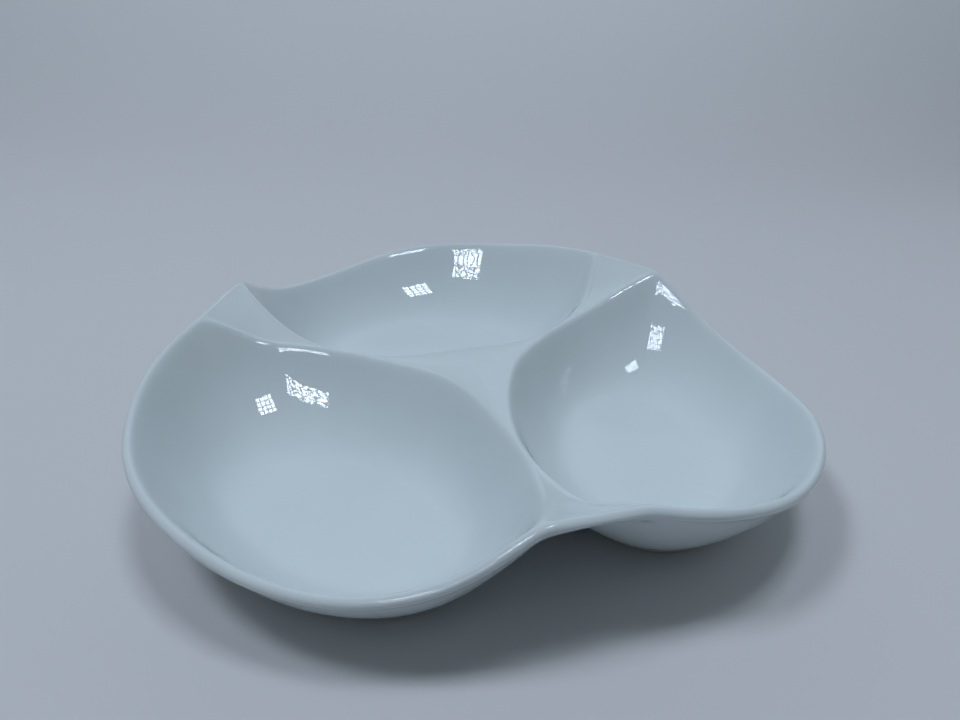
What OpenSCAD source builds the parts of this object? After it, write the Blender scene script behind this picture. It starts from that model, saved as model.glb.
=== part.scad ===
// Divided serving dish: three lens-shaped bowls, joined by webs, on three oval foot rings.
// The bowls are one shape turned by thirds, and their rims fall the same way round.
// Millimetres, Z up, the foot rings stand on z = 0 under the middle of the dish's box.

/* [Plan] */
// Distance from the dish centre to the centre of a dividing ridge's arc
ridge_reach = 120.6; // [118:0.1:123]
// Distance from the dish centre to the centre of an outer rim's arc
rim_reach = 36.9; // [34:0.1:39]
// Radius of an outer rim where it meets the corners
rim_radius = 102.5; // [100:0.1:104]
// Extra radius of an outer rim half way between its corners
rim_extra_radius = 4.8; // [0:0.1:8]
// Shift of that extra radius towards the high side of the rim
rim_lean = 3; // [0:0.1:5]

/* [Heights] */
// Height of the lip's top at the corners
corner_height = 60.1; // [52:0.1:68]
// Height of the lip's top at its lowest place
low_height = 36.3; // [32:0.1:42]
// Extra fall of a ridge between its touch with the neighbour and its first corner
ridge_fall = 3.4; // [0:0.1:4]

/* [Wall] */
// Thickness of the wall, which the lip ends in a half round
wall = 4.7; // [3.6:0.1:5.6]
// Angle of the wall from upright where it leaves the lip
wall_angle = 27; // [20:1:32]
// Height of the floor inside a bowl
floor_height = 8; // [6.5:0.1:10]
// Distance inside a foot ring's outer edge at which the level floor begins
floor_inset = 9; // [6:0.5:12]

/* [Webs] */
// Thickness of a web
web_thickness = 4.4; // [3.6:0.1:5.2]
// Depth of the shallow dip in a web's top
web_dip = 0.5; // [0:0.1:1.2]
// Angle up the lip's round at which a web meets it
web_joint_angle = 58; // [45:1:70]

/* [Foot rings] */
// Length of a foot ring, across its bowl
foot_length = 112; // [100:1:118]
// Width of a foot ring, along its bowl's middle line
foot_width = 81.4; // [70:0.2:88]
// Distance from the dish centre to a foot ring's centre
foot_reach = 78; // [74:0.5:82]
// Distance of that centre to the side of the bowl's middle line
foot_side = 3; // [0:0.5:5]
// Turn of a foot ring about its centre
foot_turn = 10; // [0:1:15]
// Height of a foot ring
foot_height = 3; // [2:0.1:5]
// Width of a foot ring's standing face
foot_land = 4; // [2.5:0.1:6]

/* [Hidden] */

// Angles: the turn from one bowl to the next, and the turn of the rear bowl
third = 120;
half_third = third / 2;
rear_turn = 90;
front_left_turn = rear_turn + third;
right_turn = rear_turn - third;

// Rise of the rim above its lowest place, from the first corner round to the last one
first_corner_share = 0.94;
rim_rise_shares = [first_corner_share, 0.7, 0.45, 0.35, 0.24, 0.05, 0.02, 0.3, 1];
// Rise of a dividing ridge above that place, from one corner to the other
ridge_rise_shares = [1, 0.31, 0.175, 0.3, 0.175, 0.31, 1];

// Shape of the wall's outer and inner curves between the lip and the floor
outer_drop_share = 0.34;
outer_flare_share = 0.16;
inner_drop_share = 0.36;
inner_flare_share = 0.5;
seam_share = 0.05;
web_centre_share = 0.3;

// Number of steps along the parts of a bowl's edge and down its wall
rim_steps = 40;
web_steps = 8;
touch_steps = 6;
centre_steps = 12;
wall_steps = 7;
edge_steps = 4;
skin_steps = 3;
foot_steps = 60;

// Lip and floor
lip = wall / 2;
rim_low = low_height - lip;
rim_range = corner_height - low_height;

// Ridge arcs touch on the planes between the bowls, a sixth of a turn from each middle line
ridge_radius = ridge_reach * sin(half_third);
touch_angle = 90 - half_third;

// Corners, where the ridge arc and the rim arc cross
arc_gap = ridge_reach - rim_reach;
corner_out = (rim_radius * rim_radius - ridge_radius * ridge_radius + arc_gap * arc_gap) / (2 * arc_gap);
rim_half_angle = acos(corner_out / rim_radius);
ridge_half_angle = acos((arc_gap - corner_out) / ridge_radius);

// A web's side lies this far outside the ridge line, and its tip this far round from the touch
web_offset = lip * cos(web_joint_angle);
tip_angle = acos(ridge_radius / (ridge_radius + web_offset));

// Angles round the lip, from the wall's inner face over the top to its outer face
inner_lip_angles = [180 - wall_angle, 143, 116];
lip_angles = concat(inner_lip_angles, [90, (90 + web_joint_angle) / 2, web_joint_angle]);
outer_lip_angles = [web_joint_angle / 2, 0, -wall_angle];

// Small helpers
function steps(first, last, count) = [for (i = [0 : count - 1]) first + (last - first) * i / count];
function unit(v) = v / norm(v);
function mixed(a, b, share) = a + (b - a) * share;
function turned(p, angle) = [
    p.x * cos(angle) - p.y * sin(angle),
    p.x * sin(angle) + p.y * cos(angle),
    p.z
];

// Smooth curve through evenly spaced values
function slope_at(values, i) =
    let (last = len(values) - 1)
    i == 0 ? values[1] - values[0]
    : i == last ? values[last] - values[last - 1]
    : (values[i + 1] - values[i - 1]) / 2;

function smooth(values, share) =
    let (
        span = len(values) - 1,
        i = min(floor(share * span), span - 1),
        t = share * span - i,
        a = values[i],
        b = values[i + 1],
        m = slope_at(values, i),
        n = slope_at(values, i + 1)
    )
    a + t * m + t * t * (3 * (b - a) - 2 * m - n) + t * t * t * (2 * (a - b) + m + n);

// Outer rim in plan, from the first corner (share 0) to the last corner (share 1)
function rim_plan(share) =
    let (
        angle = rim_half_angle * (2 * share - 1),
        radius = rim_radius + rim_extra_radius * sin(180 * share) + rim_lean * sin(360 * share)
    )
    [rim_reach + radius * cos(angle), radius * sin(angle)];

function rim_outward(share) =
    let (
        step = 1 / rim_steps / 2,
        along = rim_plan(share + step) - rim_plan(share - step)
    )
    unit([along.y, -along.x]);

// Dividing ridge in plan, by the angle about the ridge arc's centre
function ridge_outward(angle) = [-cos(angle), sin(angle)];
function ridge_plan(angle) = [ridge_reach, 0] + ridge_radius * ridge_outward(angle);
function ridge_share(angle) = (ridge_half_angle - angle) / (2 * ridge_half_angle);

// A ridge is alike on both sides, but for the extra fall towards the first corner
function fall_share(angle) =
    min(max(-(angle + touch_angle + tip_angle) / (ridge_half_angle - touch_angle - tip_angle), 0), 1);
function extra_fall(angle) =
    let (
        share = fall_share(angle),
        corner_fall = rim_range * (1 - first_corner_share)
    )
    ridge_fall * pow(sin(180 * share), 2) + corner_fall * share * share;
function even_level(angle) = rim_low + rim_range * smooth(ridge_rise_shares, ridge_share(angle));
function ridge_level(angle) = even_level(angle) - extra_fall(angle);

// Stations round a bowl's edge, counter-clockwise from the first corner
rim_shares = steps(0, 1, rim_steps);
ridge_angles = concat(
    steps(ridge_half_angle, touch_angle + tip_angle, web_steps),
    steps(touch_angle + tip_angle, touch_angle - tip_angle, touch_steps),
    steps(touch_angle - tip_angle, tip_angle - touch_angle, centre_steps),
    steps(tip_angle - touch_angle, -touch_angle - tip_angle, touch_steps),
    steps(-touch_angle - tip_angle, -ridge_half_angle, web_steps)
);
station_count = rim_steps + len(ridge_angles);

lip_line = concat(
    [for (s = rim_shares) [rim_plan(s).x, rim_plan(s).y, rim_low + rim_range * smooth(rim_rise_shares, s)]],
    [for (a = ridge_angles) [ridge_plan(a).x, ridge_plan(a).y, ridge_level(a)]]
);

first_corner_outward = unit(rim_outward(0) + ridge_outward(-ridge_half_angle));
last_corner_outward = unit(rim_outward(1) + ridge_outward(ridge_half_angle));
outward = concat(
    [first_corner_outward],
    [for (i = [1 : rim_steps - 1]) rim_outward(rim_shares[i])],
    [last_corner_outward],
    [for (i = [1 : len(ridge_angles) - 1]) ridge_outward(ridge_angles[i])]
);

function station(i) = (i + station_count) % station_count;

// The lip stays round where it climbs, so its section grows taller there
function lip_growth(i) =
    let (along = lip_line[station(i + 1)] - lip_line[station(i - 1)])
    norm(along) / norm([along.x, along.y]);

function lip_point(i, angle) =
    lip_line[i] + lip * [outward[i].x * cos(angle), outward[i].y * cos(angle), lip_growth(i) * sin(angle)];

// Oval of a foot ring, about the foot's centre
foot_centre = [foot_reach, foot_side];

function oval_reach(angle, length, width) =
    let (turn = angle - foot_turn)
    1 / norm([cos(turn) / (width / 2), sin(turn) / (length / 2)]);

function oval_edge(i, inset, height) =
    let (
        way = [lip_line[i].x, lip_line[i].y] - foot_centre,
        reach = oval_reach(atan2(way.y, way.x), foot_length - 2 * inset, foot_width - 2 * inset),
        edge = foot_centre + unit(way) * reach
    )
    [edge.x, edge.y, height];

// Wall: one curve from the lip's end to the foot ring, and one inside from the lip to the floor
function wall_curve(top, bottom, drop_share, flare_share, t) =
    let (
        across = [top.x - bottom.x, top.y - bottom.y, 0],
        drop = (top.z - bottom.z) * drop_share,
        upper = top - unit(across) * drop * tan(wall_angle) - [0, 0, drop],
        lower = bottom + across * flare_share,
        s = 1 - t
    )
    s * s * s * top + 3 * s * s * t * upper + 3 * s * t * t * lower + t * t * t * bottom;

function outer_wall(i, t) =
    wall_curve(
        lip_point(i, -wall_angle),
        oval_edge(i, 0, foot_height),
        outer_drop_share,
        outer_flare_share,
        t
    );

function inner_wall(i, t) =
    wall_curve(
        lip_point(i, 180 - wall_angle),
        oval_edge(i, floor_inset, floor_height),
        inner_drop_share,
        inner_flare_share,
        t
    );

// Side of a web: upright along the ridges, and the lip's own round at the corners and the rim
function web_top(i) = lip_point(i, web_joint_angle);
function web_bottom(i) = i > rim_steps ? web_top(i) - [0, 0, web_thickness] : outer_wall(i, seam_share);
function web_side(i, row) =
    i > rim_steps
    ? web_top(i) - [0, 0, web_thickness * (row + 1) / (len(outer_lip_angles) + 1)]
    : lip_point(i, outer_lip_angles[row]);

// Neighbouring bowls meet on the planes between them, so no point passes those planes
function held(p) =
    let (
        past_high = max(0, p.y * cos(half_third) - p.x * sin(half_third)),
        past_low = max(0, -p.y * cos(half_third) - p.x * sin(half_third))
    )
    p + [(past_high + past_low) * sin(half_third), (past_low - past_high) * cos(half_third), 0];

// The bowl's corners soften with depth: each pass moves a point towards its two neighbours
function softened(points, passes) =
    passes == 0 ? points
    : let (count = len(points))
    softened(
        [for (i = [0 : count - 1])
            (points[(i + count - 1) % count] + 2 * points[i] + points[(i + 1) % count]) / 4
        ],
        passes - 1
    );

// Rings of points on a bowl's skin, from the floor over the lip to the underside
function ring_at(points, passes = 0) = [for (p = softened(points, passes)) held(p)];
all_stations = [for (i = [0 : station_count - 1]) i];
wall_shares = [for (j = [1 : wall_steps]) j / wall_steps];
bowl_rings = concat(
    [for (j = [wall_steps - 1 : -1 : 0])
        ring_at([for (i = all_stations) inner_wall(i, wall_shares[j])], j + 1)
    ],
    [for (a = lip_angles) ring_at([for (i = all_stations) lip_point(i, a)])],
    [for (row = [0 : len(outer_lip_angles) - 1]) ring_at([for (i = all_stations) web_side(i, row)])],
    [ring_at([for (i = all_stations) web_bottom(i)])],
    [for (j = [0 : wall_steps - 1]) ring_at([for (i = all_stations) outer_wall(i, wall_shares[j])], j)]
);
floor_centre = [foot_centre.x, foot_centre.y, floor_height];
underside_centre = [foot_centre.x, foot_centre.y, foot_height];

// First and last of the rings that a web shares with a bowl
web_ring = wall_steps + len(lip_angles) - 1;
web_rows = len(outer_lip_angles) + 2;

// Places of the bowls, with the middle of the dish's box over the origin
bowl_turns = [right_turn, rear_turn, front_left_turn];
widest_ring = bowl_rings[web_ring + 2];
outer_points = [for (turn = bowl_turns) each [for (p = widest_ring) turned(p, turn)]];
xs = [for (p = outer_points) p.x];
ys = [for (p = outer_points) p.y];
box_middle = [(min(xs) + max(xs)) / 2, (min(ys) + max(ys)) / 2, 0];

// Closed skin of rings between two end points: skewed swaps the diagonal that splits each face
module closed_skin(first, rings, last, skewed = false) {
    count = len(rings[0]);
    tail = len(rings) * count;
    points = concat([for (ring = rings) each ring], [first, last]);
    first_fan = [for (i = [0 : count - 1]) [tail, (i + 1) % count, i]];
    last_fan = [for (i = [0 : count - 1]) [tail + 1, tail - count + i, tail - count + (i + 1) % count]];
    sides = [for (r = [0 : len(rings) - 2], i = [0 : count - 1])
        let (
            a = r * count + i,
            b = r * count + (i + 1) % count,
            c = b + count,
            d = a + count
        )
        each (skewed ? [[a, b, d], [b, c, d]] : [[a, b, c], [a, c, d]])
    ];
    polyhedron(points = points, faces = concat(first_fan, sides, last_fan), convexity = 6);
}

module bowl(turn) {
    color("ghostwhite")
        translate(-box_middle)
            rotate(turn)
                closed_skin(floor_centre, bowl_rings, underside_centre);
}

// Column of points that a web shares with the bowl at this turn
function joint_column(i, turn) =
    [for (row = [0 : web_rows - 1]) turned(bowl_rings[web_ring + row][station(i)], turn)];

// A web's skin: its columns shrink to a middle on top and beneath, and the top dips between
module web(columns, middle, follows_ridges, turn) {
    rim = [for (column = columns) column[0]];
    dip = [0, 0, web_dip];
    under = [0, 0, web_thickness];
    inner = [for (s = [1 : skin_steps - 1])
        let (share = s / skin_steps)
        [for (p = rim)
            web_surface(mixed(middle, p, share), follows_ridges, turn) - dip * (1 - share * share)
        ]
    ];
    centre = web_surface(middle, follows_ridges, turn) - dip;
    beneath = [for (s = [skin_steps - 1 : -1 : 1])
        let (share = s / skin_steps)
        [for (p = inner[s - 1]) p - under + dip * (1 - share * share)]
    ];
    rows = [for (row = [0 : web_rows - 1]) [for (column = columns) column[row]]];
    color("whitesmoke")
        translate(-box_middle)
            closed_skin(centre, concat(inner, rows, beneath), centre - under + dip, skewed = true);
}

// How much taller the lip's section grows on a climbing ridge
function ridge_growth(angle) =
    let (
        step = ridge_half_angle / rim_steps,
        rise = even_level(angle) - even_level(angle - step)
    )
    norm([1, rise / (ridge_radius * 2 * sin(step / 2))]);

// An outer web's top runs straight across between two ridges, by its distance out from the dish
// centre and by its side: the last side of one bowl, or the first side of the next
function web_level(reach, side) =
    let (
        radius = ridge_radius + web_offset,
        rise = (reach - ridge_reach * cos(half_third)) / radius,
        turn = asin(min(rise, 1)),
        angle = min(touch_angle + turn, ridge_half_angle),
        half_width = ridge_radius - radius * cos(turn),
        first_share = min(max((1 + side / half_width) / 2, 0), 1)
    )
    even_level(angle)
    + lip * ridge_growth(angle) * sin(web_joint_angle)
    - extra_fall(-angle) * first_share;

function web_surface(p, follows_ridges, turn) =
    let (across = turned(p, -turn))
    follows_ridges ? [p.x, p.y, web_level(across.x, across.y)] : p;

module outer_web(before_turn) {
    after_turn = before_turn + third;
    first_side = [for (i = [0 : web_steps]) joint_column(-i, after_turn)];
    last_side = [for (i = [web_steps - 1 : -1 : 0]) joint_column(rim_steps + i, before_turn)];
    edge = [for (s = [1 : edge_steps - 1])
        [for (row = [0 : web_rows - 1])
            mixed(last_side[web_steps - 1][row], first_side[0][row], s / edge_steps)
        ]
    ];
    tip = first_side[web_steps][0];
    edge_middle = mixed(last_side[web_steps - 1][0], first_side[0][0], 0.5);
    web(
        concat(first_side, last_side, edge),
        mixed(edge_middle, tip, web_centre_share),
        true,
        before_turn + half_third
    );
}

module centre_web() {
    first = rim_steps + web_steps + touch_steps;
    columns = [for (turn = bowl_turns, j = [0 : centre_steps - 1])
        joint_column(first + centre_steps - j, turn)
    ];
    web(columns, [0, 0, ridge_level(0) + lip * sin(web_joint_angle)], false, 0);
}

// Oval foot ring
function oval(length, width) = [
    for (i = [0 : foot_steps - 1])
        let (angle = 360 * i / foot_steps)
        oval_reach(angle, length, width) * [cos(angle), sin(angle)]
];

module foot_ring(turn) {
    color("linen")
        translate(-box_middle)
            rotate(turn)
                translate(foot_centre)
                    linear_extrude(foot_height)
                        difference() {
                            polygon(oval(foot_length, foot_width));
                            polygon(oval(foot_length - 2 * foot_land, foot_width - 2 * foot_land));
                        }
}

module front_left_bowl() {
    bowl(front_left_turn);
}

module right_bowl() {
    bowl(right_turn);
}

module rear_bowl() {
    bowl(rear_turn);
}

module left_web() {
    outer_web(rear_turn);
}

module front_web() {
    outer_web(front_left_turn);
}

module rear_right_web() {
    outer_web(right_turn);
}

module front_left_foot_ring() {
    foot_ring(front_left_turn);
}

module right_foot_ring() {
    foot_ring(right_turn);
}

module rear_foot_ring() {
    foot_ring(rear_turn);
}

front_left_bowl();
right_bowl();
rear_bowl();
centre_web();
left_web();
front_web();
rear_right_web();
front_left_foot_ring();
right_foot_ring();
rear_foot_ring();
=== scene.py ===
# Looks of the divided serving dish: one continuous glazed skin over the bowls and webs,
# rounded bare foot rings, a pale sweep and soft studio light.
import math

import bmesh
import bpy
from mathutils import Matrix, Vector


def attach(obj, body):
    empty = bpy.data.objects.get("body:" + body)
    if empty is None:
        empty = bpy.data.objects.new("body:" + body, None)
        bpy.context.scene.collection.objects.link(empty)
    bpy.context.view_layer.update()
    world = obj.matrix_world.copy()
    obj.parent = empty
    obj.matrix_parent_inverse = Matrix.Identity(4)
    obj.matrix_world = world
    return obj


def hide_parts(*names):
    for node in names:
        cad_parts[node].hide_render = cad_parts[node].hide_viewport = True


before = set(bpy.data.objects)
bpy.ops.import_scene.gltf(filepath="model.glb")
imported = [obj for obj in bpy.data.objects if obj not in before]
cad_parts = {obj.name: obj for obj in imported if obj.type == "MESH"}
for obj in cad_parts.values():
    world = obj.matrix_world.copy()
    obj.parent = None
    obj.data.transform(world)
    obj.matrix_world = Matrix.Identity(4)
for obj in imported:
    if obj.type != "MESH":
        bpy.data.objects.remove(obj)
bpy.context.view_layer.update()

# A millimetre in the scene's metres
MM = 0.001

# Driving sizes of the dish in millimetres, as the solids have them
RIDGE_REACH = 120.6
RIM_REACH = 36.9
RIM_RADIUS = 102.5
RIM_EXTRA_RADIUS = 4.8
RIM_LEAN = 3.0
CORNER_HEIGHT = 60.1
LOW_HEIGHT = 36.3
RIDGE_FALL = 3.4
WALL = 4.7
WALL_ANGLE = 27.0
FLOOR_HEIGHT = 8.0
FLOOR_INSET = 9.0
WEB_THICKNESS = 4.4
WEB_JOINT_ANGLE = 58.0
FOOT_LENGTH = 112.0
FOOT_WIDTH = 81.4
FOOT_REACH = 78.0
FOOT_SIDE = 3.0
FOOT_TURN = 10.0
FOOT_HEIGHT = 3.0
FOOT_LAND = 4.0

# Finer forms of the glazed skin and the feet in millimetres
WEB_DIP = 0.15
WEB_EDGE_LIFTS = [0, 0, 0.2, 0.5, 0.9, 1.3, 1.6]
BEAD_DEPTH = 1.2
FOOT_ROUND = 0.8
FOOT_SINK = 0.4

# Shares that shape the rim, the ridges, the wall and the bead
FIRST_CORNER_SHARE = 0.94
RIM_RISE_SHARES = [FIRST_CORNER_SHARE, 0.7, 0.45, 0.35, 0.24, 0.05, 0.02, 0.3, 1]
RIDGE_RISE_SHARES = [1, 0.31, 0.175, 0.3, 0.175, 0.31, 1]
OUTER_DROP_SHARE = 0.34
OUTER_FLARE_SHARE = 0.16
INNER_DROP_SHARE = 0.36
INNER_FLARE_SHARE = 0.5
SEAM_SHARE = 0.05
BEAD_FADE_SHARE = 0.5
FLOOR_RING_SHARE = 0.85

# Steps of the cage that the subdivision smooths
RIM_STEPS = 40
BEAD_TAPER_STEPS = 7
WEB_STEPS = 8
TOUCH_STEPS = 6
CENTRE_STEPS = 12
WALL_STEPS = 7
CROSS_STEPS = 6
RING_STEPS = 5
RELAX_PASSES = 300
FOOT_STEPS = 72
SMOOTH_LEVELS = 2

# Turns in degrees: between bowls, and of each bowl
THIRD = 120.0
HALF_THIRD = THIRD / 2
REAR_TURN = 90.0
BOWL_TURNS = {"right": REAR_TURN - THIRD, "rear": REAR_TURN, "front_left": REAR_TURN + THIRD}

# Worked-out sizes: the lip's radius, the rim's heights, and the arcs of rim and ridge
LIP = WALL / 2
RIM_LOW = LOW_HEIGHT - LIP
RIM_RANGE = CORNER_HEIGHT - LOW_HEIGHT
RIDGE_RADIUS = RIDGE_REACH * math.sin(math.radians(HALF_THIRD))
TOUCH_ANGLE = 90 - HALF_THIRD
ARC_GAP = RIDGE_REACH - RIM_REACH
CORNER_OUT = (RIM_RADIUS ** 2 - RIDGE_RADIUS ** 2 + ARC_GAP ** 2) / (2 * ARC_GAP)
RIM_HALF_ANGLE = math.degrees(math.acos(CORNER_OUT / RIM_RADIUS))
RIDGE_HALF_ANGLE = math.degrees(math.acos((ARC_GAP - CORNER_OUT) / RIDGE_RADIUS))
WEB_OFFSET = LIP * math.cos(math.radians(WEB_JOINT_ANGLE))
TIP_ANGLE = math.degrees(math.acos(RIDGE_RADIUS / (RIDGE_RADIUS + WEB_OFFSET)))
FOOT_CENTRE = Vector((FOOT_REACH, FOOT_SIDE))


def polar(angle, radius=1.0):
    turn = math.radians(angle)
    return Vector((radius * math.cos(turn), radius * math.sin(turn)))


def at(plan, height):
    """Point at a height over a place in plan."""
    return Vector((plan.x, plan.y, height))


def steps(first, last, count):
    """Even steps from the first value to just before the last."""
    return [first + (last - first) * i / count for i in range(count)]


def smooth(values, share):
    """Smooth curve through evenly spaced values, at a share of its length."""
    span = len(values) - 1
    i = min(int(share * span), span - 1)
    t = share * span - i

    def slope(k):
        low = max(k - 1, 0)
        high = min(k + 1, span)
        return (values[high] - values[low]) / (high - low)

    a, b, m, n = values[i], values[i + 1], slope(i), slope(i + 1)
    return a + t * m + t * t * (3 * (b - a) - 2 * m - n) + t ** 3 * (2 * (a - b) + m + n)


def rim_plan(share):
    angle = RIM_HALF_ANGLE * (2 * share - 1)
    extra = RIM_EXTRA_RADIUS * math.sin(math.pi * share)
    lean = RIM_LEAN * math.sin(2 * math.pi * share)
    return Vector((RIM_REACH, 0)) + polar(angle, RIM_RADIUS + extra + lean)


def rim_outward(share):
    step = 0.5 / RIM_STEPS
    along = rim_plan(share + step) - rim_plan(share - step)
    return Vector((along.y, -along.x)).normalized()


def ridge_outward(angle):
    return Vector((-math.cos(math.radians(angle)), math.sin(math.radians(angle))))


def ridge_plan(angle):
    return Vector((RIDGE_REACH, 0)) + RIDGE_RADIUS * ridge_outward(angle)


def rim_level(share):
    return RIM_LOW + RIM_RANGE * smooth(RIM_RISE_SHARES, share)


def extra_fall(angle):
    """Fall of a ridge between its touch with the neighbour and its first corner."""
    start = TOUCH_ANGLE + TIP_ANGLE
    share = min(max(-(angle + start) / (RIDGE_HALF_ANGLE - start), 0), 1)
    corner_fall = RIM_RANGE * (1 - FIRST_CORNER_SHARE)
    return RIDGE_FALL * math.sin(math.pi * share) ** 2 + corner_fall * share * share


def ridge_level(angle):
    share = (RIDGE_HALF_ANGLE - angle) / (2 * RIDGE_HALF_ANGLE)
    rise = RIM_RANGE * smooth(RIDGE_RISE_SHARES, min(max(share, 0), 1))
    return RIM_LOW + rise - extra_fall(angle)


# Stations round a bowl's edge, counter-clockwise from the first corner
RIM_SHARES = steps(0, 1, RIM_STEPS)
RIDGE_ANGLES = (
    steps(RIDGE_HALF_ANGLE, TOUCH_ANGLE + TIP_ANGLE, WEB_STEPS)
    + steps(TOUCH_ANGLE + TIP_ANGLE, TOUCH_ANGLE - TIP_ANGLE, TOUCH_STEPS)
    + steps(TOUCH_ANGLE - TIP_ANGLE, TIP_ANGLE - TOUCH_ANGLE, CENTRE_STEPS)
    + steps(TIP_ANGLE - TOUCH_ANGLE, -TOUCH_ANGLE - TIP_ANGLE, TOUCH_STEPS)
    + steps(-TOUCH_ANGLE - TIP_ANGLE, -RIDGE_HALF_ANGLE, WEB_STEPS)
)
STATIONS = RIM_STEPS + len(RIDGE_ANGLES)

# Stations at the tips of the outer webs, where two ridges meet at one height
FIRST_TIP = RIM_STEPS + WEB_STEPS
LAST_TIP = STATIONS - WEB_STEPS

LIP_LINE = [at(rim_plan(s), rim_level(s)) for s in RIM_SHARES]
LIP_LINE += [at(ridge_plan(a), ridge_level(a)) for a in RIDGE_ANGLES]
WEB_EDGE_OUTWARD = {0: polar(-HALF_THIRD), RIM_STEPS: polar(HALF_THIRD)}


def between(first, second):
    return (first + second).normalized()


def outward(i):
    """Level direction out of the bowl at a station; the corners look out of the whole dish."""
    if i == 0:
        return between(rim_outward(0), WEB_EDGE_OUTWARD[0])
    if i == RIM_STEPS:
        return between(rim_outward(1), WEB_EDGE_OUTWARD[RIM_STEPS])
    if i < RIM_STEPS:
        return rim_outward(RIM_SHARES[i])
    return ridge_outward(RIDGE_ANGLES[i - RIM_STEPS])


def inward(i):
    """Level direction into the bowl at a station; the corners look between rim and ridge."""
    if i == 0:
        return -between(rim_outward(0), ridge_outward(-RIDGE_HALF_ANGLE))
    if i == RIM_STEPS:
        return -between(rim_outward(1), ridge_outward(RIDGE_HALF_ANGLE))
    return -outward(i)


def lip_growth(i):
    """The lip stays round where it climbs, so its section grows taller there."""
    before = i if i == FIRST_TIP else i - 1
    after = i if i == LAST_TIP else (i + 1) % STATIONS
    along = LIP_LINE[after] - LIP_LINE[before]
    return along.length / along.xy.length


def lip_point(i, way, angle):
    level = way * LIP * math.cos(math.radians(angle))
    return LIP_LINE[i] + at(level, LIP * lip_growth(i) * math.sin(math.radians(angle)))


def oval_reach(angle, length, width):
    turn = math.radians(angle - FOOT_TURN)
    return 1 / math.hypot(math.cos(turn) / (width / 2), math.sin(turn) / (length / 2))


def oval_edge(i, inset, height):
    """Point below a station on the foot's oval, drawn in by the inset."""
    way = LIP_LINE[i].xy - FOOT_CENTRE
    angle = math.degrees(math.atan2(way.y, way.x))
    reach = oval_reach(angle, FOOT_LENGTH - 2 * inset, FOOT_WIDTH - 2 * inset)
    return at(FOOT_CENTRE + way.normalized() * reach, height)


def wall_curve(top, bottom, drop_share, flare_share, t):
    """Curve from the lip, leaving at the wall's angle, to the edge of the floor or the foot."""
    level = at((top - bottom).xy, 0)
    drop = (top.z - bottom.z) * drop_share
    lean = math.tan(math.radians(WALL_ANGLE))
    upper = top - level.normalized() * drop * lean - Vector((0, 0, drop))
    lower = bottom + level * flare_share
    s = 1 - t
    return s ** 3 * top + 3 * s * s * t * upper + 3 * s * t * t * lower + t ** 3 * bottom


def bead_inset(i, t):
    """The rim stands proud as a bead: the wall is drawn in under it and comes out again below."""
    taper = min(max(min(i, RIM_STEPS - i) / BEAD_TAPER_STEPS, 0), 1)
    return BEAD_DEPTH * taper * max(1 - t / BEAD_FADE_SHARE, 0) ** 2


def outer_wall(i, t):
    top = lip_point(i, outward(i), -WALL_ANGLE)
    bottom = oval_edge(i, 0, FOOT_HEIGHT)
    point = wall_curve(top, bottom, OUTER_DROP_SHARE, OUTER_FLARE_SHARE, t)
    return point - at(outward(i) * bead_inset(i, t), 0)


def inner_wall(i, t):
    top = lip_point(i, inward(i), WALL_ANGLE)
    bottom = oval_edge(i, FLOOR_INSET, FLOOR_HEIGHT)
    return wall_curve(top, bottom, INNER_DROP_SHARE, INNER_FLARE_SHARE, t)


# Rows of the skin: down the walls, over the lip's round, and the middles of floor and base
WALL_SHARES = [(j + 1) / WALL_STEPS for j in range(WALL_STEPS)]
INNER_LIP_ANGLES = [46.0, 90.0]
OUTER_LIP_ANGLES = [67.5, 45.0, 22.5, 0.0, -WALL_ANGLE, -55.0]
FLOOR_CENTRE = at(FOOT_CENTRE, FLOOR_HEIGHT)
BASE_CENTRE = at(FOOT_CENTRE, FOOT_HEIGHT)


def softened(row, passes):
    """The corners soften with depth: each pass moves a point towards its two neighbours."""
    count = len(row)
    for _ in range(passes):
        row = [(row[i - 1] + 2 * row[i] + row[(i + 1) % count]) / 4 for i in range(count)]
    return row


def wall_rows(wall, spared):
    """Rows round the bowl, from the lip down; the first ones are spared the softening."""
    rows = []
    for j, t in enumerate(WALL_SHARES):
        rows.append(softened([wall(i, t) for i in range(STATIONS)], j + 1 - spared))
    return rows


INNER_ROWS = wall_rows(inner_wall, 0)
OUTER_ROWS = wall_rows(outer_wall, 1)


def inner_column(i):
    """Points from the floor up the inner wall to the lip's crest."""
    floor = FLOOR_CENTRE.lerp(INNER_ROWS[-1][i], FLOOR_RING_SHARE)
    wall = [row[i] for row in reversed(INNER_ROWS)]
    lip = [lip_point(i, inward(i), a) for a in INNER_LIP_ANGLES]
    return [floor] + wall + lip


def wall_column(i):
    return [row[i] for row in OUTER_ROWS]


def rim_column(i):
    """Points from below the crest down the lip's outer round to the seam with the wall."""
    lip = [lip_point(i, outward(i), a) for a in OUTER_LIP_ANGLES]
    return lip + [outer_wall(i, SEAM_SHARE)]


def joint_offset(i):
    """How far outside the ridge line the web's side or the neighbour's ridge is met."""
    angle = RIDGE_ANGLES[i - RIM_STEPS]
    turn = math.radians(abs(angle) - TOUCH_ANGLE)
    if abs(turn) < math.radians(TIP_ANGLE):
        return min(RIDGE_RADIUS * (1 / math.cos(turn) - 1), WEB_OFFSET)
    return WEB_OFFSET


# Places in a ridge column of its points on a web's top and on the web's underside
WEB_TOP = 1
WEB_UNDER = 2


def ridge_column(i):
    """Points from below the crest to a web's top, and then the web's underside."""
    way = outward(i)
    offset = joint_offset(i)
    joint = math.degrees(math.acos(min(offset / LIP, 1)))
    top = lip_point(i, way, joint)
    shoulder = lip_point(i, way, (90 + joint) / 2)
    web_top = lip_point(i, way, WEB_JOINT_ANGLE).z
    return [shoulder, top, at(top.xy, web_top - WEB_THICKNESS)]


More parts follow.
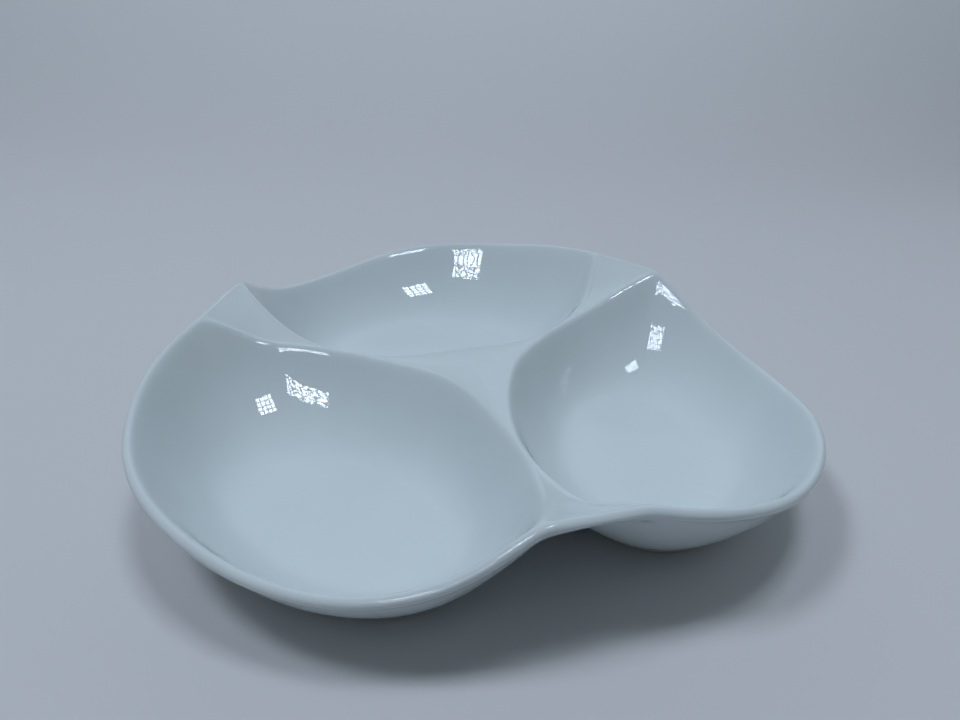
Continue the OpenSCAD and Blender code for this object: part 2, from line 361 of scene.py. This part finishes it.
def nook_column(i):
    """At a corner, the points between the ridge's round and the round of the web's outer edge."""
    side = 1 if i == RIM_STEPS else -1
    edge_in = -WEB_EDGE_OUTWARD[i]
    ridge_out = ridge_outward(side * RIDGE_HALF_ANGLE)
    way = between(edge_in, ridge_out)
    facing = way.dot(ridge_out)
    points = []
    for angle in ((90 + WEB_JOINT_ANGLE) / 2, WEB_JOINT_ANGLE):
        reach = LIP * math.cos(math.radians(angle)) / facing
        along = math.sqrt(reach ** 2 - (reach * facing) ** 2)
        down_ridge = ridge_level(side * (RIDGE_HALF_ANGLE - math.degrees(along / RIDGE_RADIUS)))
        level = (LIP_LINE[i].z + down_ridge) / 2 + LIP * math.sin(math.radians(angle))
        points.append(at(LIP_LINE[i].xy + way * reach, level))
    return points


class Skin:
    """Mesh that welds points equal to 0.001 mm and drops faces that two neighbours share."""

    def __init__(self):
        self.points = []
        self.index = {}
        self.faces = {}

    def point(self, p):
        key = (round(p.x, 3), round(p.y, 3), round(p.z, 3))
        if key not in self.index:
            self.index[key] = len(self.points)
            self.points.append(p)
        return self.index[key]

    def face(self, *corners):
        ids = [self.point(c) for c in corners]
        ring = [v for n, v in enumerate(ids) if v != ids[n - 1]]
        if len(set(ring)) < 3:
            return
        key = frozenset(ring)
        if key in self.faces:
            del self.faces[key]
        else:
            self.faces[key] = ring

    def strip(self, first, second):
        """Faces between two columns of points; the first lies clockwise of the second."""
        for r in range(len(first) - 1):
            self.face(first[r], first[r + 1], second[r + 1], second[r])

    def strip_loop(self, ring, bigger):
        """Faces between two closed rings of points."""
        count = len(ring)
        for n in range(count):
            m = (n + 1) % count
            self.face(ring[n], bigger[n], bigger[m], ring[m])

    def object(self, name):
        """Object of this skin with its faces outward, smoothed by subdivision."""
        mesh = bpy.data.meshes.new(name)
        mesh.from_pydata([p * MM for p in self.points], [], list(self.faces.values()))
        body = bmesh.new()
        body.from_mesh(mesh)
        bmesh.ops.recalc_face_normals(body, faces=body.faces)
        body.to_mesh(mesh)
        body.free()
        mesh.polygons.foreach_set("use_smooth", [True] * len(mesh.polygons))
        made = bpy.data.objects.new(name, mesh)
        bpy.context.scene.collection.objects.link(made)
        smoother = made.modifiers.new("smooth", "SUBSURF")
        smoother.levels = SMOOTH_LEVELS
        smoother.render_levels = SMOOTH_LEVELS
        return made


def add_bowl(skin, place):
    """Inner and outer wall, floor, base and lip of one bowl, from station to station."""
    inner = [[place(p) for p in inner_column(i)] for i in range(STATIONS)]
    wall = [[place(p) for p in wall_column(i)] for i in range(STATIONS)]
    rim = [[place(p) for p in rim_column(i)] for i in range(RIM_STEPS + 1)]
    nooks = {i: [place(p) for p in nook_column(i)] for i in (0, RIM_STEPS)}
    floor_centre = place(FLOOR_CENTRE)
    base_centre = place(BASE_CENTRE)
    ridge = {i: [place(p) for p in ridge_column(i)] for i in range(RIM_STEPS + 1, STATIONS)}
    for i in range(STATIONS):
        n = (i + 1) % STATIONS
        skin.face(floor_centre, inner[i][0], inner[n][0])
        skin.strip(inner[i], inner[n])
        skin.face(base_centre, wall[n][-1], wall[i][-1])
        skin.strip(wall[i], wall[n])
        if i < RIM_STEPS:
            lips = [[inner[s][-1]] + rim[s] + [wall[s][0]] for s in (i, n)]
            skin.strip(*lips)
        else:
            tops = []
            seams = []
            for s in (i, n):
                corner = s in nooks
                upper = nooks[s] if corner else ridge[s][:2]
                lower = rim[s][-1] if corner else ridge[s][2]
                tops.append([inner[s][-1]] + upper)
                seams.append([lower, wall[s][0]])
            skin.strip(tops[0], tops[1])
            skin.strip(seams[0], seams[1])


def across(left, right, dip):
    """Points from left to right with a shallow dip between."""
    row = []
    for c in range(CROSS_STEPS + 1):
        s = c / CROSS_STEPS
        row.append(left.lerp(right, s) - Vector((0, 0, dip * math.sin(math.pi * s))))
    return row


def grid(skin, rows):
    for first, second in zip(rows, rows[1:]):
        for c in range(len(first) - 1):
            skin.face(first[c], first[c + 1], second[c + 1], second[c])


def add_outer_web(skin, before, after):
    """Web between the last corner of one bowl and the first corner of the next."""
    tops = []
    beneath = []
    for j in range(WEB_STEPS + 1):
        dip = WEB_DIP * math.sin(math.pi * j / WEB_STEPS)
        if j == 0:
            ends = before(nook_column(RIM_STEPS)[WEB_TOP]), after(nook_column(0)[WEB_TOP])
            tops.append(across(*ends, 0))
            corners = before(rim_column(RIM_STEPS)[-1]), after(rim_column(0)[-1])
            beneath.append(across(*corners, -WEB_EDGE_LIFTS[-1]))
        else:
            left = [before(p) for p in ridge_column(RIM_STEPS + j)]
            right = [after(p) for p in ridge_column(STATIONS - j)]
            tops.append(across(left[WEB_TOP], right[WEB_TOP], dip))
            beneath.append(across(left[WEB_UNDER], right[WEB_UNDER], dip))
    grid(skin, tops)
    grid(skin, [list(reversed(row)) for row in beneath])
    crest = across(before(inner_column(RIM_STEPS)[-1]), after(inner_column(0)[-1]), 0)
    shoulder = across(before(nook_column(RIM_STEPS)[0]), after(nook_column(0)[0]), 0)
    outside = []
    for a, b, lift in zip(rim_column(RIM_STEPS), rim_column(0), WEB_EDGE_LIFTS):
        outside.append(across(before(a), after(b), -lift))
    grid(skin, list(reversed(outside)) + [crest, shoulder, tops[0]])


def relaxed_rings(loop, dip):
    """Rings that shrink from a loop to its middle, at the heights of a stretched film."""
    count = len(loop)
    middle = sum(loop, Vector()) / count
    rings = [[middle.lerp(p, (r + 1) / RING_STEPS) for p in loop] for r in range(RING_STEPS)]
    for _ in range(RELAX_PASSES):
        middle.z = sum(p.z for p in rings[0]) / count
        for r in range(RING_STEPS - 1):
            ring = rings[r]
            inner = rings[r - 1] if r else [middle] * count
            heights = [
                (ring[n - 1].z + ring[(n + 1) % count].z + inner[n].z + rings[r + 1][n].z) / 4
                for n in range(count)
            ]
            for n, height in enumerate(heights):
                ring[n].z = height
    middle.z -= dip
    for r, ring in enumerate(rings):
        for p in ring:
            p.z -= dip * (1 - ((r + 1) / RING_STEPS) ** 2)
    return middle, rings


def add_centre_web(skin, places):
    """Web inside the three ridges, as rings that shrink to the dish's centre."""
    first = RIM_STEPS + WEB_STEPS + TOUCH_STEPS
    loops = {WEB_TOP: [], WEB_UNDER: []}
    for place in places:
        for j in range(CENTRE_STEPS):
            column = ridge_column(first + CENTRE_STEPS - j)
            for row in loops:
                loops[row].append(place(column[row]))
    for row, loop in loops.items():
        middle, rings = relaxed_rings(loop, WEB_DIP if row == WEB_TOP else 0)
        for ring, bigger in zip(rings, rings[1:]):
            skin.strip_loop(ring, bigger)
        for n, p in enumerate(rings[0]):
            skin.face(middle, p, rings[0][(n + 1) % len(loop)])


def turner(angle, shift):
    """Way to turn a bowl's own points about the dish's axis and move them to their place."""
    turn = Matrix.Rotation(math.radians(angle), 3, "Z")
    return lambda p: turn @ p - shift


def dish_shift():
    """Puts the middle of the dish's box over the origin."""
    points = [lip_point(i, outward(i), 0) for i in range(RIM_STEPS + 1)]
    turned = [turner(a, Vector())(p) for a in BOWL_TURNS.values() for p in points]
    xs = [p.x for p in turned]
    ys = [p.y for p in turned]
    return Vector(((min(xs) + max(xs)) / 2, (min(ys) + max(ys)) / 2, 0))


SHIFT = dish_shift()
PLACES = {name: turner(angle, SHIFT) for name, angle in BOWL_TURNS.items()}


def make_dish():
    skin = Skin()
    for place in PLACES.values():
        add_bowl(skin, place)
    add_outer_web(skin, PLACES["right"], PLACES["rear"])
    add_outer_web(skin, PLACES["rear"], PLACES["front_left"])
    add_outer_web(skin, PLACES["front_left"], PLACES["right"])
    add_centre_web(skin, list(PLACES.values()))
    return skin.object("glazed_dish")


def make_foot_ring(name, place):
    """Oval ring with rounded standing edges, let a little way into the glaze above it."""
    profile = [
        (FOOT_LAND, FOOT_HEIGHT + FOOT_SINK),
        (FOOT_LAND, FOOT_ROUND),
        (FOOT_LAND - FOOT_ROUND, 0),
        (FOOT_LAND / 2, 0),
        (FOOT_ROUND, 0),
        (0, FOOT_ROUND),
        (0, FOOT_HEIGHT + FOOT_SINK),
    ]
    skin = Skin()
    columns = []
    for n in range(FOOT_STEPS):
        angle = 360 * n / FOOT_STEPS
        column = []
        for inset, height in profile:
            reach = oval_reach(angle, FOOT_LENGTH - 2 * inset, FOOT_WIDTH - 2 * inset)
            column.append(place(at(FOOT_CENTRE + polar(angle, reach), height)))
        columns.append(column + [column[0]])
    for n, column in enumerate(columns):
        skin.strip(columns[n - 1], column)
    return skin.object(name)


# Glaze: the scale of its drift and its two tones, its few pin specks, and the fine ripple
DRIFT_SCALE = 14
DRIFT_SPAN = (0.3, 0.7)
GLAZE_TONES = ((0.645, 0.71, 0.725, 1), (0.685, 0.75, 0.765, 1))
GLAZE_ROUGHNESS = (0.012, 0.035)
GLAZE_IOR = 1.5
SPECK_SCALE = 45
SPECK_RADIUS = 0.014
SPECK_CHANCE = 0.2
SPECK_COLOUR = (0.3, 0.31, 0.3, 1)
RIPPLE_SCALE = 220
RIPPLE_STRENGTH = 0.02
RIPPLE_DEPTH = 0.0002

# Bare fired body of the foot rings: fine grain between two tones
GRAIN_SCALE = 900
GRAIN_STRENGTH = 0.3
GRAIN_DEPTH = 0.0001
BARE_TONES = ((0.42, 0.39, 0.34, 1), (0.6, 0.57, 0.52, 1))
BARE_ROUGHNESS = 0.75


def new_material(name):
    material = bpy.data.materials.new(name)
    material.use_nodes = True
    nodes = material.node_tree.nodes
    return material, nodes, material.node_tree.links, nodes["Principled BSDF"]


def noise_node(nodes, scale, detail):
    noise = nodes.new("ShaderNodeTexNoise")
    noise.inputs["Scale"].default_value = scale
    noise.inputs["Detail"].default_value = detail
    return noise


def tone_ramp(nodes, tones, span=(0.0, 1.0)):
    """Ramp between two tones over a span of its factor."""
    ramp = nodes.new("ShaderNodeValToRGB")
    for element, place, tone in zip(ramp.color_ramp.elements, span, tones):
        element.position = place
        element.color = tone
    return ramp


def bump_node(nodes, strength, depth):
    bump = nodes.new("ShaderNodeBump")
    bump.inputs["Strength"].default_value = strength
    bump.inputs["Distance"].default_value = depth
    return bump


def math_node(nodes, operation):
    node = nodes.new("ShaderNodeMath")
    node.operation = operation
    return node


def glaze_material():
    """White porcelain glaze: faint colour drift, fine ripple in the gloss and a few pin specks."""
    material, nodes, links, shader = new_material("white_glaze")
    place = nodes.new("ShaderNodeTexCoord")
    drift = noise_node(nodes, DRIFT_SCALE, detail=3)
    tone = tone_ramp(nodes, GLAZE_TONES, DRIFT_SPAN)
    specks = nodes.new("ShaderNodeTexVoronoi")
    specks.inputs["Scale"].default_value = SPECK_SCALE
    near_speck = math_node(nodes, "LESS_THAN")
    near_speck.inputs[1].default_value = SPECK_RADIUS
    chance = nodes.new("ShaderNodeSeparateXYZ")
    rare = math_node(nodes, "GREATER_THAN")
    rare.inputs[1].default_value = 1 - SPECK_CHANCE
    shown = math_node(nodes, "MULTIPLY")
    speckled = nodes.new("ShaderNodeMix")
    speckled.data_type = "RGBA"
    speckled.inputs["B"].default_value = SPECK_COLOUR
    gloss = nodes.new("ShaderNodeMapRange")
    gloss.inputs["To Min"].default_value = GLAZE_ROUGHNESS[0]
    gloss.inputs["To Max"].default_value = GLAZE_ROUGHNESS[1]
    ripple = noise_node(nodes, RIPPLE_SCALE, detail=2)
    bump = bump_node(nodes, RIPPLE_STRENGTH, RIPPLE_DEPTH)
    shader.inputs["IOR"].default_value = GLAZE_IOR
    links.new(place.outputs["Object"], drift.inputs["Vector"])
    links.new(place.outputs["Object"], specks.inputs["Vector"])
    links.new(drift.outputs["Fac"], tone.inputs["Fac"])
    links.new(specks.outputs["Distance"], near_speck.inputs[0])
    links.new(specks.outputs["Color"], chance.inputs[0])
    links.new(chance.outputs["X"], rare.inputs[0])
    links.new(near_speck.outputs[0], shown.inputs[0])
    links.new(rare.outputs[0], shown.inputs[1])
    links.new(shown.outputs[0], speckled.inputs["Factor"])
    links.new(tone.outputs["Color"], speckled.inputs["A"])
    links.new(speckled.outputs["Result"], shader.inputs["Base Color"])
    links.new(drift.outputs["Fac"], gloss.inputs["Value"])
    links.new(gloss.outputs["Result"], shader.inputs["Roughness"])
    links.new(place.outputs["Object"], ripple.inputs["Vector"])
    links.new(ripple.outputs["Fac"], bump.inputs["Height"])
    links.new(bump.outputs["Normal"], shader.inputs["Normal"])
    return material


def bare_material():
    """Unglazed fired body under the foot: warm, dull and finely grained."""
    material, nodes, links, shader = new_material("bare_ceramic")
    place = nodes.new("ShaderNodeTexCoord")
    grain = noise_node(nodes, GRAIN_SCALE, detail=4)
    tone = tone_ramp(nodes, BARE_TONES)
    bump = bump_node(nodes, GRAIN_STRENGTH, GRAIN_DEPTH)
    shader.inputs["Roughness"].default_value = BARE_ROUGHNESS
    links.new(place.outputs["Object"], grain.inputs["Vector"])
    links.new(grain.outputs["Fac"], tone.inputs["Fac"])
    links.new(tone.outputs["Color"], shader.inputs["Base Color"])
    links.new(grain.outputs["Fac"], bump.inputs["Height"])
    links.new(bump.outputs["Normal"], shader.inputs["Normal"])
    return material


glaze = glaze_material()
bare = bare_material()

dish = make_dish()
dish.data.materials.append(glaze)
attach(dish, "root")
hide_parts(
    "front_left_bowl", "right_bowl", "rear_bowl",
    "centre_web", "left_web", "front_web", "rear_right_web",
)

for bowl_name, bowl_place in PLACES.items():
    foot = make_foot_ring(bowl_name + "_foot", bowl_place)
    foot.data.materials.append(bare)
    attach(foot, "root")
    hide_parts(bowl_name + "_foot_ring")


# Camera: fitted together with the dish's outline. Its place is in millimetres, its roll in
# degrees and its focal length in pixels of the picture's width.
CAMERA_PLACE = Vector((-96.4, -274.2, 214.1))
CAMERA_FORWARD = Vector((0.293, 0.815, -0.5))
CAMERA_ROLL = 2.9
FOCAL_PIXELS = 756.4
PHOTO_WIDTH = 960
SENSOR_WIDTH = 36.0


def make_camera():
    data = bpy.data.cameras.new("photo_camera")
    data.sensor_width = SENSOR_WIDTH
    data.lens = FOCAL_PIXELS * SENSOR_WIDTH / PHOTO_WIDTH
    data.clip_start = 0.01
    camera = bpy.data.objects.new("photo_camera", data)
    bpy.context.scene.collection.objects.link(camera)
    forward = CAMERA_FORWARD.normalized()
    right = forward.cross(Vector((0, 0, 1))).normalized()
    up = right.cross(forward)
    roll = math.radians(CAMERA_ROLL)
    rolled_right = right * math.cos(roll) + up * math.sin(roll)
    rolled_up = up * math.cos(roll) - right * math.sin(roll)
    turn = Matrix((rolled_right, rolled_up, -forward)).transposed()
    camera.matrix_world = Matrix.Translation((CAMERA_PLACE - SHIFT) * MM) @ turn.to_4x4()
    bpy.context.scene.camera = camera


# Sweep: a pale floor that curves up into a back wall, in metres, square to the camera's heading
FLOOR_HALF_WIDTH = 1.6
FLOOR_FRONT = -1.6
SWEEP_START = 0.45
SWEEP_RADIUS = 0.5
WALL_TOP = 1.6
SWEEP_STEPS = 24
# Up the wall, the paler tone and the glow are painted light that stands for the light falling on
# the back wall
SWEEP_TONES = ((0.65, 0.65, 0.66, 1), (0.9, 0.95, 0.96, 1))
SWEEP_BLEND_SHARE = 0.4
SWEEP_ROUGHNESS = 0.7
BACKDROP_GLOW = 0.17
GLOW_COLOUR = (0.75, 1.0, 1.2, 1)


def background_rays(nodes, links):
    """Socket that is 1 for rays that show the background, straight or in a reflection."""
    rays = nodes.new("ShaderNodeLightPath")
    total = math_node(nodes, "ADD")
    every = math_node(nodes, "ADD")
    every.use_clamp = True
    links.new(rays.outputs["Is Camera Ray"], total.inputs[0])
    links.new(rays.outputs["Is Glossy Ray"], total.inputs[1])
    links.new(total.outputs[0], every.inputs[0])
    links.new(rays.outputs["Is Transmission Ray"], every.inputs[1])
    return every.outputs[0]


def sweep_material():
    """Matt floor tone; up the wall a paler tone and a glow that only shows and lights nothing,
    both painted light on the back wall.
    """
    material, nodes, links, shader = new_material("pale_sweep")
    shader.inputs["Roughness"].default_value = SWEEP_ROUGHNESS
    shader.inputs["Emission Color"].default_value = GLOW_COLOUR
    place = nodes.new("ShaderNodeTexCoord")
    split = nodes.new("ShaderNodeSeparateXYZ")
    height = nodes.new("ShaderNodeMapRange")
    height.inputs["From Max"].default_value = WALL_TOP
    tone = tone_ramp(nodes, SWEEP_TONES, (0.0, SWEEP_BLEND_SHARE))
    glow = nodes.new("ShaderNodeMapRange")
    glow.inputs["From Max"].default_value = SWEEP_BLEND_SHARE
    glow.inputs["To Max"].default_value = BACKDROP_GLOW
    shown = math_node(nodes, "MULTIPLY")
    links.new(place.outputs["Object"], split.inputs[0])
    links.new(split.outputs["Z"], height.inputs["Value"])
    links.new(height.outputs["Result"], tone.inputs["Fac"])
    links.new(tone.outputs["Color"], shader.inputs["Base Color"])
    links.new(height.outputs["Result"], glow.inputs["Value"])
    links.new(background_rays(nodes, links), shown.inputs[0])
    links.new(glow.outputs["Result"], shown.inputs[1])
    links.new(shown.outputs[0], shader.inputs["Emission Strength"])
    return material


def make_sweep():
    heading = math.atan2(CAMERA_FORWARD.y, CAMERA_FORWARD.x) - math.pi / 2
    turn = Matrix.Rotation(heading, 3, "Z")
    profile = [(FLOOR_FRONT, 0.0), (SWEEP_START, 0.0)]
    for n in range(1, SWEEP_STEPS + 1):
        angle = math.pi / 2 * n / SWEEP_STEPS
        depth = SWEEP_START + SWEEP_RADIUS * math.sin(angle)
        profile.append((depth, SWEEP_RADIUS * (1 - math.cos(angle))))
    profile.append((profile[-1][0], WALL_TOP))
    points = []
    for depth, height in profile:
        for side in (-FLOOR_HALF_WIDTH, FLOOR_HALF_WIDTH):
            points.append(turn @ Vector((side, depth, height)))
    faces = [(2 * n, 2 * n + 1, 2 * n + 3, 2 * n + 2) for n in range(len(profile) - 1)]
    mesh = bpy.data.meshes.new("sweep")
    mesh.from_pydata(points, [], faces)
    mesh.polygons.foreach_set("use_smooth", [True] * len(faces))
    sweep = bpy.data.objects.new("sweep", mesh)
    bpy.context.scene.collection.objects.link(sweep)
    mesh.materials.append(sweep_material())


# Cool studio light
LIGHT_TINT = (0.87, 0.97, 1.13)

# Soft lamps, which show in no reflection: place in metres, width, height and watts
LAMPS = {
    "key_lamp": ((-0.75, 0.0, 1.5), 0.32, 0.3, 6.9),
    "top_lamp": ((0.08, -0.15, 1.5), 0.32, 0.3, 5.2),
    "back_lamp": ((0.1, 0.6, 0.5), 0.9, 0.5, 0.2),
    "fill_lamp": ((0.62, -0.08, 0.34), 0.6, 0.4, 0.2),
}

# Small lamp panels above the camera, which show as the crisp highlights in the bowls:
# place, width, height, watts, lamps across and up, and how far their rows wander
PANELS = {
    "right_panel": ((0.12, -0.36, 0.61), 0.16, 0.15, 1.05, 4, 4, 0.04),
    "left_panel": ((-0.27, -0.415, 0.49), 0.24, 0.13, 1.4, 6, 4, 0.6),
    "low_panel": ((-0.43, -0.72, 0.39), 0.16, 0.06, 0.42, 6, 2, 0.1),
}
LAMP_GAP = 0.036
LAMP_WAVES = 3.0
LAMP_COLOUR = (1.4, 1.4, 1.4, 1)
GAP_COLOUR = (0.0, 0.0, 0.0, 1)
GAP_SOFTNESS = 0.5

# Room light: its dimmest and brightest tones, the way in which it brightens, and the shown tone
ROOM_TONES = ((0.037, 0.045, 0.046, 1), (0.165, 0.193, 0.205, 1))
ROOM_BRIGHT_WAY = Vector((0.2, 0.8, 0.55))
ROOM_SPAN = (-0.6, 0.9)
ROOM_SHOWN = (0.33, 0.38, 0.44, 1)


def area_light(name, place, size, size_y, power):
    """Rectangular lamp that faces the middle of the dish."""
    data = bpy.data.lights.new(name, "AREA")
    data.shape = "RECTANGLE"
    data.size = size
    data.size_y = size_y
    data.energy = power
    data.color = LIGHT_TINT
    light = bpy.data.objects.new(name, data)
    light.location = place
    light.rotation_euler = (-Vector(place)).to_track_quat("-Z", "Y").to_euler()
    bpy.context.scene.collection.objects.link(light)
    return light


def add_lamp_cells(data, across, up, wandering):
    """Shows a panel's separate lamps as bright cells, with dark gaps that wander a little."""
    data.use_nodes = True
    nodes = data.node_tree.nodes
    links = data.node_tree.links
    place = nodes.new("ShaderNodeNewGeometry")
    wander = noise_node(nodes, LAMP_WAVES, detail=2)
    shift = nodes.new("ShaderNodeVectorMath")
    shift.operation = "MULTIPLY_ADD"
    shift.inputs[1].default_value = (wandering, wandering, 0)
    cells = nodes.new("ShaderNodeTexBrick")
    cells.offset = 0
    cells.squash = 1
    cells.inputs["Color1"].default_value = LAMP_COLOUR
    cells.inputs["Color2"].default_value = LAMP_COLOUR
    cells.inputs["Mortar"].default_value = GAP_COLOUR
    cells.inputs["Scale"].default_value = 1
    cells.inputs["Mortar Size"].default_value = LAMP_GAP
    cells.inputs["Mortar Smooth"].default_value = GAP_SOFTNESS
    cells.inputs["Brick Width"].default_value = 1 / across
    cells.inputs["Row Height"].default_value = 1 / up
    links.new(place.outputs["Parametric"], wander.inputs["Vector"])
    links.new(wander.outputs["Color"], shift.inputs[0])
    links.new(place.outputs["Parametric"], shift.inputs[2])
    links.new(shift.outputs["Vector"], cells.inputs["Vector"])
    links.new(cells.outputs["Color"], nodes["Emission"].inputs["Color"])


def make_room():
    """World light, dimmer in front than above and behind, which shows as one pale tone."""
    world = bpy.data.worlds.new("soft_room")
    world.use_nodes = True
    nodes = world.node_tree.nodes
    links = world.node_tree.links
    place = nodes.new("ShaderNodeTexCoord")
    lean = nodes.new("ShaderNodeVectorMath")
    lean.operation = "DOT_PRODUCT"
    spread = nodes.new("ShaderNodeMapRange")
    spread.inputs["From Min"].default_value = ROOM_SPAN[0]
    spread.inputs["From Max"].default_value = ROOM_SPAN[1]
    lean.inputs[1].default_value = ROOM_BRIGHT_WAY.normalized()
    tone = tone_ramp(nodes, ROOM_TONES)
    links.new(place.outputs["Generated"], lean.inputs[0])
    links.new(lean.outputs["Value"], spread.inputs["Value"])
    links.new(spread.outputs["Result"], tone.inputs["Fac"])
    shown = nodes.new("ShaderNodeMix")
    shown.data_type = "RGBA"
    shown.inputs["B"].default_value = ROOM_SHOWN
    links.new(background_rays(nodes, links), shown.inputs["Factor"])
    links.new(tone.outputs["Color"], shown.inputs["A"])
    links.new(shown.outputs["Result"], nodes["Background"].inputs["Color"])
    bpy.context.scene.world = world


def make_light():
    make_room()
    for name, sizes in LAMPS.items():
        lamp = area_light(name, *sizes)
        lamp.visible_camera = False
        lamp.visible_glossy = False
    for name, (place, size, size_y, power, *cells) in PANELS.items():
        panel = area_light(name, place, size, size_y, power)
        panel.visible_diffuse = False
        add_lamp_cells(panel.data, *cells)


make_camera()
make_sweep()
make_light()
bpy.context.scene.view_settings.view_transform = "Standard"
